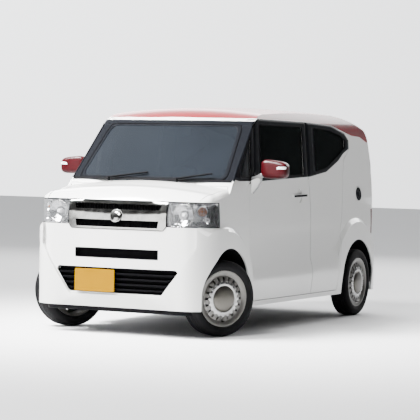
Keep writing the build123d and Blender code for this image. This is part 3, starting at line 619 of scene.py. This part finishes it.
for side, side_name in SIDES:
    flip = np.array([side, 1, 1])
    share, height = lattice((0, 1, 60), (LAMP_LOW + 0.001, LAMP_HIGH - 0.001, 26))
    lens = surface(f"headlamp_lens_{side_name}", lamp_surface(share, height, 0.001) * flip, LENS,
                   facing=(side * 0.4, -1, 0), wall=0.003)
    pan = 1 - (2 * (height - LAMP_LOW) / (LAMP_HIGH - LAMP_LOW) - 1) ** 10
    pan = np.clip(pan, 0, 1) * np.clip(1 - (2 * share - 1) ** 14, 0, 1)
    ribs = 0.0012 * np.cos(60 * pi * share)
    housing = lamp_surface(share, height, 0.006 + 0.056 * pan + ribs * pan) * flip
    surface(f"headlamp_housing_{side_name}", housing, REFLECTOR, facing=(side * 0.4, -1, 0), wall=0.002)
    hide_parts("headlamps")
    for part, profile, place, way, count, look in (
        ("headlamp_main_bowl", bowl(0.036, 0.076), MAIN_LAMP, AHEAD, 72, REFLECTOR),
        ("headlamp_bulb_shield", MAIN_BULB, MAIN_LAMP, AHEAD, 32, BULB),
        ("headlamp_main_ring", MAIN_RING, MAIN_LAMP, AHEAD, 72, CHROME),
        ("signal_bowl", bowl(0.022, 0.034), (0.640, -1.553, 0.915), (0.55, -0.83, 0), 40, REFLECTOR),
        ("signal_bulb", SIGNAL_BULB, (0.640, -1.553, 0.915), (0.55, -0.83, 0), 24, AMBER),
        ("marker_bowl", bowl(0.016, 0.024), (0.662, -1.530, 0.842), (0.6, -0.8, 0), 36, REFLECTOR),
    ):
        ring = part == "headlamp_main_ring"
        turned_piece(f"{part}_{side_name}", profile, place * flip, way * flip, count, look,
                     closed=ring)
    # dark moulding behind the lens's rear end
    share, height = lattice((0.86, 0.955, 10), (0.826, 0.955, 20))
    moulding = lamp_surface(share, height, 0.010 + 0.004 * np.cos(90 * (height - 0.8))) * flip
    surface(f"headlamp_end_moulding_{side_name}", moulding, BLACK, facing=(side, -1, 0), wall=0.002)
    # rubber edge, walked along the foot, up the rear end, back along the top and down the inner edge
    share = np.concatenate([np.linspace(0, 1, 40), np.ones(10), np.linspace(1, 0, 40), np.zeros(10)])
    rise = np.linspace(LAMP_LOW, LAMP_HIGH, 12)[1:-1]
    height = np.concatenate([np.full(40, LAMP_LOW), rise, np.full(40, LAMP_HIGH), rise[::-1]])
    out_way = stacked(side * np.sin(share * pi / 2), -np.cos(share * pi / 2), 0)
    swept(f"headlamp_seal_{side_name}", lamp_surface(share, height, 0.002) * flip, out_way, (0.0028, 0.0035), SEAL,
          sides=8)

# ---- grille and bumper ----
# Outlines as across, height.
INTAKE = [(-0.390, 0.305), (0.390, 0.305), (0.520, 0.488), (-0.520, 0.488)]
SLOT = [(-0.345, 0.557), (0.345, 0.557), (0.345, 0.630), (-0.345, 0.630)]
GRILLE_EDGE = [(-0.4045, 0.799), (-0.3812, 0.7705), (0.3812, 0.7705), (0.4045, 0.799), (0.4045, 0.9795),
               (-0.4045, 0.9795)]
BONNET_LIP_X, BONNET_LIP_Z = 0.590, 0.9802
BONNET_SIDE = np.array([(-1.780, 0.592), (-1.500, 0.640), (-1.178, 0.660)])  # station, across
ORNAMENT = [(0.0, 0.050), (0.006, 0.049), (0.009, 0.044), (0.0085, 0.040), (0.005, 0.038), (0.0045, 0.034),
            (0.0065, 0.028), (0.008, 0.016), (0.0085, 0.0004)]
ORNAMENT_Z = 0.868


def upright_bars(name, half, gap, low, high, middle, inset, depth, width):
    """Row of upright bars behind the nose: one box of eight corners repeated at even gaps across."""
    across = np.arange(-half, half + 0.001, gap)
    corner = np.array([(x, y, z) for x in (-0.5, 0.5) for y in (0, 1) for z in (0, 1)])
    base = stacked(across, nose_y(across, middle) + inset, low)[:, None]
    points = base + corner[None] * np.array([width, depth, high - low])
    quads = np.array([(0, 1, 3, 2), (4, 6, 7, 5), (0, 4, 5, 1), (2, 3, 7, 6), (0, 2, 6, 4), (1, 5, 7, 3)])
    faces = (quads[None] + 8 * np.arange(len(across))[:, None, None]).reshape(-1, 4)
    mesh_piece(name, points.reshape(-1, 3), faces, BLACK)


upright_bars("grille_lower_mesh", 0.33, 0.012, 0.7865, 0.838, 0.81, 0.020, 0.012, 0.0035)
upright_bars("grille_upper_mesh", 0.345, 0.023, 0.9155, 0.9545, 0.93, 0.026, 0.010, 0.004)
upright_bars("intake_slot_mesh", 0.34, 0.034, 0.5575, 0.6295, 0.59, 0.046, 0.006, 0.003)

# dark linings of the bumper's two openings
depth = np.linspace(0.0006, 0.044, 6)[:, None]
for opening, outline, corner in (("intake", INTAKE, 0.022), ("slot", SLOT, 0.003)):
    ring = closed_walk(rounded(outline, corner), 0.01)
    middle = ring.mean(0)
    ring = middle + (ring - middle) * (1 - 0.0022 / np.abs(ring - middle).max(0))
    x, z = ring[:, 0], ring[:, 1]
    surface(f"{opening}_lining", stacked(x, nose_y(x, z) + depth, z), BLACK, ring=True, wall=0.001)

# dark line under the bonnet's front edge, dark bead round the grille
lip_x = np.linspace(-BONNET_LIP_X, BONNET_LIP_X, 80)
swept("bonnet_edge_seal", stacked(lip_x, nose_y(lip_x, BONNET_LIP_Z + 0.0003) + 0.0016, BONNET_LIP_Z), AHEAD,
      (0.0026, 0.0024), SEAL, closed=False)
x, z = closed_walk(rounded(GRILLE_EDGE, 0.003), 0.012).T
swept("grille_edge_seal", stacked(x, nose_y(x, z) - 0.0005, z), AHEAD, (0.0024, 0.0024), SEAL, sides=8)

# dark strips in the gaps between bonnet and wings
for side, side_name in SIDES:
    seam_y, low = lattice((-1.545, -1.186, 60), (-0.0012, 0.0110, 2))
    seam_x = read_off(BONNET_SIDE, seam_y) + 0.0044
    seam_top = crowned(seam_x, read_off(ROOF_RISE, seam_y))
    edge = np.minimum(plan_half_width(seam_y), read_off(SIDE_RISE, seam_top))
    drop = sag(SHOULDER_R, np.clip(seam_x - edge + SHOULDER_R, 0, 0.048))
    surface(f"bonnet_gap_strip_{side_name}", stacked(side * seam_x, seam_y, seam_top - drop - low), SEAL,
            facing=(side, 0, 0), wall=0.0028)

# plain round ornament on the middle bar
turned_piece("grille_ornament", ORNAMENT, (0.0, nose_y(0.0, ORNAMENT_Z) - 0.002, ORNAMENT_Z), (0, -1, 0.28), 64, CHROME,
             closed=False)

# ---- door mirrors ----
MIRROR_X, MIRROR_Y, MIRROR_Z = 0.868, -0.800, 1.228
MIRROR_HALF = (0.106, 0.052, 0.068)
MIRROR_BACK = -0.775  # the housing is cut flat here
MIRROR_GLASS = [(-0.090, -0.050), (0.090, -0.050), (0.092, 0.044), (-0.088, 0.052)]
MIRROR_SIGNAL = [(0.032, 0.000), (0.1035, 0.003), (0.1035, 0.023), (0.040, 0.020)]
MIRROR_ARM = [(0.672, -0.800, 1.152), (0.705, -0.803, 1.158), (0.745, -0.806, 1.172), (0.780, -0.806, 1.190),
              (0.810, -0.803, 1.206)]
MIRROR_FOOT = [(-0.872, 1.112), (-0.700, 1.140), (-0.690, 1.176), (-0.760, 1.200)]
VIEW_STEM = [(0.760, -0.804, 1.170), (0.758, -0.812, 1.135), (0.742, -0.822, 1.098), (0.722, -0.830, 1.068),
             (0.706, -0.836, 1.046)]

for side, side_name in SIDES:
    door = f"door_front_{side_name}"
    shell = cushion_form((side * MIRROR_X, MIRROR_Y, MIRROR_Z), MIRROR_HALF, 0.5)
    outwards = (shell[..., 0] * side - MIRROR_X) / MIRROR_HALF[0]
    shell[..., 2] -= 0.012 * outwards * (shell[..., 2] > MIRROR_Z)
    shell[..., 1] = np.minimum(shell[..., 1], MIRROR_BACK)
    # the housing's red is the roof's red darkened: painted shade
    housing = surface(f"mirror_housing_{side_name}", shell, SHADED_MIRROR_RED, door, ring=True)
    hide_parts(f"mirror_{side_name}")
    x, z = np.moveaxis(filled(rounded(MIRROR_GLASS, 0.03, 8), 10, 0.01), -1, 0)
    surface(f"mirror_glass_{side_name}", stacked(side * MIRROR_X + x, MIRROR_BACK + 0.0015, MIRROR_Z + z), CHROME,
            door, ring=True, facing=(0, 1, 0), wall=0.002)
    x, z = np.moveaxis(filled(rounded(MIRROR_SIGNAL, 0.006, 5), 6, 0.006), -1, 0)
    bulge = np.clip(1 - (x / MIRROR_HALF[0]) ** 4 - (z / MIRROR_HALF[2]) ** 4, 0, 1) ** 0.25
    strip = stacked(side * (MIRROR_X + x), MIRROR_Y - 0.0012 - MIRROR_HALF[1] * bulge, MIRROR_Z + z)
    surface(f"mirror_signal_{side_name}", strip, BULB, door, ring=True, facing=AHEAD, wall=0.002)
    arm = resampled(MIRROR_ARM, range(5), np.linspace(0, 4, 24)) * (side, 1, 1)
    swept(f"mirror_arm_{side_name}", arm, AHEAD, (0.026, 0.018), GREY, body=door, closed=False, sides=16)
    foot = on_side(filled(rounded(MIRROR_FOOT, 0.012, 6), 8, 0.008), side, 0.010)
    foot = foot - (0.010 * side, 0, 0) * (np.linspace(1, 0, 8)[:, None, None] ** 4)
    surface(f"mirror_foot_{side_name}", foot, BLACK, body=door, ring=True, facing=(side, 0, 0), wall=0.004)

# small view mirror under the left one: a bent stem and a pointed white leaf between it and the door
down = np.linspace(0, 4, 30)
stem = resampled(VIEW_STEM, range(5), down)
swept("view_mirror_stem", stem, AHEAD, (0.008, 0.0065), GREY, body="door_front_left", closed=False)
share = np.linspace(0, 1, 8)[None, :, None]
root_line = stacked(0.694, -0.858 + 0.018 * down / 4, 1.140 - 0.082 * down / 4)
leaf = root_line[:, None] * (1 - share) + (stem - (0.004, 0.004, 0))[:, None] * share
leaf[..., 1] -= 0.012 * np.sin(pi * share[..., 0])
surface("near_side_view_mirror", leaf, WHITE, "door_front_left", facing=AHEAD, wall=0.006)

# ---- wheel arches, handles, fuel lid and lower lip ----
ARCHES = (("front", -1.262, 0.303, 0.345), ("rear", 1.262, 0.305, 0.342))  # station, height and radius
ARCH_SIDE_X, ARCH_INNER_X = 0.712, 0.645
HANDLE = [(-0.072, 1.0105), (0.189, 1.0165), (0.189, 1.0335), (-0.072, 1.0275)]
FUEL_FACE = [(-0.001, 0.0555), (0.003, 0.054), (0.004, 0.046), (0.0012, 0.040), (0.001, 0.026), (0.004, 0.022),
             (0.005, 0.010), (0.005, 0.0004)]
FUEL_Y, FUEL_Z = 1.321, 1.031

for side, side_name in SIDES:
    for row, y, z, radius in ARCHES:
        turn = np.linspace(radians(-6), radians(186), 70)
        lip_y, lip_z = y + (radius + 0.003) * np.cos(turn), z + (radius + 0.003) * np.sin(turn)
        lip_x = np.minimum(ARCH_SIDE_X, side_x(lip_y, lip_z)) + PROUD - 0.006
        swept(f"arch_lip_{row}_{side_name}", stacked(side * lip_x, lip_y, lip_z), (side, 0, 0), (0.005, 0.006), WHITE,
              closed=False)
        inward = np.linspace(0, 1, 8)[None, :]
        edge_x, turn = lip_x[:, None] - 0.008, turn[:, None]
        lining = stacked(side * (edge_x + (ARCH_INNER_X - edge_x) * inward), y + (radius - 0.0012) * np.cos(turn),
                         z + (radius - 0.0012) * np.sin(turn))
        surface(f"arch_lining_{row}_{side_name}", lining, BLACK, facing=(0, 0, -1), wall=0.0008)
    # dark insert in the front door's handle
    grip = closed_walk(rounded(HANDLE, 0.007, 5), 0.006)
    surface(f"door_handle_insert_{side_name}", on_side(filled(grip, 8, 0.006), side, 0.0145), GLOSS,
            body=f"door_front_{side_name}", ring=True, facing=(side, 0, 0), wall=0.002)

# fuel lid: dark ring with a plain domed middle
turned_piece("fuel_lid_face", FUEL_FACE, (side_x(FUEL_Y, FUEL_Z) + 0.002, FUEL_Y, FUEL_Z), (1, 0, 0.11), 60, GLOSS,
             body="fuel_lid", closed=False)

# dark lower lip under the front bumper
across, drop = lattice((-0.60, 0.60, 60), (0, 1, 8))
lip = stacked(across, nose_y(across, 0.21) + 0.012 + 0.02 * drop ** 2, 0.222 - 0.058 * drop)
surface("front_lower_lip", lip, BLACK, facing=AHEAD, wall=0.004)

# ---- seats ----
SWELL = 0.010  # most that the stuffing may move outwards
SEAT_HALF, BACK_HALF = (0.232, 0.222, 0.056), (0.222, 0.050, 0.306)
HEAD_HALF = (0.116, 0.038, 0.078)
BENCH_HALF, BENCH_BACK_HALF = (0.502, 0.222, 0.056), (0.492, 0.050, 0.306)
SEAT_LEAN, BACK_LEAN, HEAD_LEAN = -0.05, -0.215, -0.16
# Name, middle across, station, halves of cushion and back, places of the head rests, replaced node.
SEATS = (
    ("front_left_seat", 0.335, -0.330, SEAT_HALF, BACK_HALF, (0.0,), "front_seats"),
    ("front_right_seat", -0.335, -0.330, SEAT_HALF, BACK_HALF, (0.0,), "front_seats"),
    ("rear_bench", 0.0, 0.560, BENCH_HALF, BENCH_BACK_HALF, (-0.300, 0.300), "rear_seat"),
)


def swollen(half):
    """Stuffed form: a rounded block that is remeshed evenly, blown up as cloth and kept within the swell."""
    start = cushion_form((0, 0, 0), np.asarray(half) - 0.6 * SWELL, 0.34, 40, 64).reshape(-1, 3)
    mesh = bpy.data.meshes.new("stuffing")
    mesh.from_pydata(start.tolist(), [], outward_faces(start, grid_faces(40, 64, False, True)).tolist())
    thing = bpy.data.objects.new("stuffing", mesh)
    bpy.context.scene.collection.objects.link(thing)
    even = thing.modifiers.new("even", "REMESH")
    even.mode, even.voxel_size = "VOXEL", 0.014
    rest = bpy.data.meshes.new_from_object(thing.evaluated_get(bpy.context.evaluated_depsgraph_get()))
    thing.modifiers.clear()
    thing.data = rest
    before = np.empty(len(rest.vertices) * 3, np.float32)
    rest.vertices.foreach_get("co", before)
    quads = np.empty(len(rest.loops), np.int32)
    rest.loops.foreach_get("vertex_index", quads)
    after = before.copy()
    cloth = thing.modifiers.new("cloth", "CLOTH")
    cloth.settings.use_pressure = True
    cloth.settings.uniform_pressure_force = 4
    cloth.settings.effector_weights.gravity = 0
    cloth.settings.quality = 5
    cloth.point_cache.frame_start, cloth.point_cache.frame_end = 1, 20
    for frame_number in range(1, 21):
        bpy.context.scene.frame_set(frame_number)
    blown = thing.evaluated_get(bpy.context.evaluated_depsgraph_get()).to_mesh()
    blown.vertices.foreach_get("co", after)
    bpy.context.scene.frame_set(1)
    before = before.reshape(-1, 3)
    move = after.reshape(-1, 3) - before
    length = np.linalg.norm(move, axis=1, keepdims=True)
    bpy.data.objects.remove(thing)
    return before + move * np.minimum(1, SWELL / np.maximum(length, 1e-9)), quads.reshape(-1, 4)


def cushion(name, half, place, lean, channels, face):
    """Cushion from its swollen form: sewn channels sunk into one face, then leaned back and set down.

    A channel at c sinks the face by 9 mm * exp(-((u - c) / 8 mm)^2)."""
    points, quads = forms[half]
    points = points.copy()
    up_axis, sign = face
    depth = sum(np.exp(-((points[:, axis] - at) / 0.008) ** 2) for axis, at in channels)
    towards = np.clip(sign * points[:, up_axis] / half[up_axis], 0, 1) ** 2
    points[:, up_axis] -= sign * 0.009 * np.clip(depth, 0, 1) * towards
    turn = np.array([[1, 0, 0], [0, cos(lean), -sin(lean)], [0, sin(lean), cos(lean)]])
    piece = mesh_piece(name, points @ turn.T + place, quads, CLOTH, smooth=60)
    finer = piece.modifiers.new("finer", "SUBSURF")
    finer.levels = finer.render_levels = 1
    return piece


forms = {half: swollen(half) for half in (SEAT_HALF, BACK_HALF, HEAD_HALF, BENCH_HALF, BENCH_BACK_HALF)}
for name, x, y, seat_half, back_half, heads, node in SEATS:
    lines = [(0, s * 0.62 * seat_half[0]) for s in (-1, 1)] + [(0, 0.0)] * (len(heads) > 1)
    seat = cushion(f"{name}_cushion", seat_half, (x, y - 0.025, 0.427), SEAT_LEAN, lines + [(1, -0.08), (1, 0.06)],
                   (2, 1))
    cushion(f"{name}_back", back_half, (x, y + 0.300, 0.772), BACK_LEAN, lines + [(2, -0.12), (2, 0.02), (2, 0.16)],
            (1, -1))
    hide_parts(node)
    surface(f"{name}_base", cushion_form((x, y, 0.300), (seat_half[0] - 0.062, 0.176, 0.074), 0.2), BLACK, ring=True)
    for k, head in enumerate(heads):
        cushion(f"{name}_head_rest_{k}", HEAD_HALF, (x + head, y + 0.402, 1.156), HEAD_LEAN, [], (1, -1))
        for post, post_name in ((-0.05, "right"), (0.05, "left")):
            foot, top = (x + head + post, y + 0.372, 1.050), (x + head + post, y + 0.392, 1.100)
            swept(f"{name}_post_{k}_{post_name}", np.linspace(foot, top, 6), AHEAD, (0.006, 0.006), CHROME,
                  closed=False)

# inner mirror on a short stalk
surface("inner_mirror", cushion_form((0.0, -0.715, 1.500), (0.118, 0.016, 0.034), 0.4), GLOSS, ring=True)
swept("inner_mirror_stalk", np.linspace((0.0, -0.735, 1.560), (0.0, -0.712, 1.508), 8), AHEAD, (0.010, 0.012),
      BLACK, closed=False)

# ---- floor, lights and camera ----
SKY_TOWARDS = (-0.66, 0.66, 0.36)  # the plain sky is brightest this way
SKY_LEVEL, SKY_POWER = 4.4, 7  # level at the brightest, and how fast it falls off
CAMERA_PLACE = (6.6513, -13.6824, 1.2735)
YAW, PITCH, ROLL = 0.4561, -0.0254, 0.0224

back, across = lattice((-40, 40, 60), (-30, 30, 40))
floor = surface("studio_floor", stacked(across, back, -0.0005), FLOOR, facing=(0, 0, 1))

world = bpy.data.worlds.new("studio")
bpy.context.scene.world = world
world.use_nodes = True
sky = world.node_tree


def sky_step(kind, operation, source, value):
    """Next step of the sky's level: the operation on the source's output and a constant."""
    node = add_node(sky, kind)
    node.operation = operation
    node.inputs[1].default_value = value
    sky.links.new(source, node.inputs[0])
    return node.outputs["Value"]


facing = sky_step("VectorMath", "DOT_PRODUCT", add_node(sky, "TexCoord").outputs["Generated"], SKY_TOWARDS)
share = add_node(sky, "MapRange", From_Min=-1, From_Max=1)
sky.links.new(facing, share.inputs["Value"])
level = sky_step("Math", "POWER", share.outputs["Result"], SKY_POWER)
level = sky_step("Math", "MULTIPLY", level, SKY_LEVEL)
sky.links.new(level, sky.nodes["Background"].inputs["Strength"])
sky.nodes["Background"].inputs["Color"].default_value = (0.97, 0.985, 1.0, 1)


def set_down(thing, right, up, back, place):
    """Link a lamp or camera into the scene, turned by its three directions, at its place."""
    bpy.context.scene.collection.objects.link(thing)
    thing.matrix_world = Matrix([[right[k], up[k], back[k], place[k]] for k in range(3)] + [[0, 0, 0, 1]])


def soft_light(name, place, aim, size, power, wide=None, spread=180):
    """Lamp that faces its aim point: square, or wide by size, its beam opening by the spread in degrees."""
    lamp = bpy.data.lights.new(name, "AREA")
    lamp.shape = "RECTANGLE"
    lamp.size, lamp.size_y = wide or size, size
    lamp.spread = radians(spread)
    lamp.energy = power
    thing = bpy.data.objects.new(name, lamp)
    thing.visible_camera = False
    back, right, up = basis(np.subtract(place, aim))
    set_down(thing, right, up, back, place)


soft_light("key", (-0.8, -9.2, 8.2), (0, -0.6, 0.6), 4.0, 2300)
soft_light("low_card", (-4.8, -11.4, 1.9), (0, -1.6, 0.85), 4.5, 230)
soft_light("bonnet", (-2.6, -3.6, 5.8), (0, -1.3, 1.0), 3.0, 600, spread=60)
soft_light("roof_side_card", (3.2, 8.6, 4.6), (0.5, 0.3, 1.6), 2.6, 330, 5.0)
soft_light("roof_card", (-3.4, 8.5, 6.0), (0, 0.2, 1.6), 4.6, 900, 9.0)

camera = bpy.data.cameras.new("camera")
camera.lens, camera.sensor_width, camera.clip_end = 161.68, 36, 200
viewer = bpy.data.objects.new("camera", camera)
ahead = np.array([-sin(YAW) * cos(PITCH), cos(YAW) * cos(PITCH), sin(PITCH)])
level = np.array([cos(YAW), sin(YAW), 0])
above = np.cross(level, ahead)
set_down(viewer, cos(ROLL) * level + sin(ROLL) * above, -sin(ROLL) * level + cos(ROLL) * above, -ahead, CAMERA_PLACE)
bpy.context.scene.camera = viewer
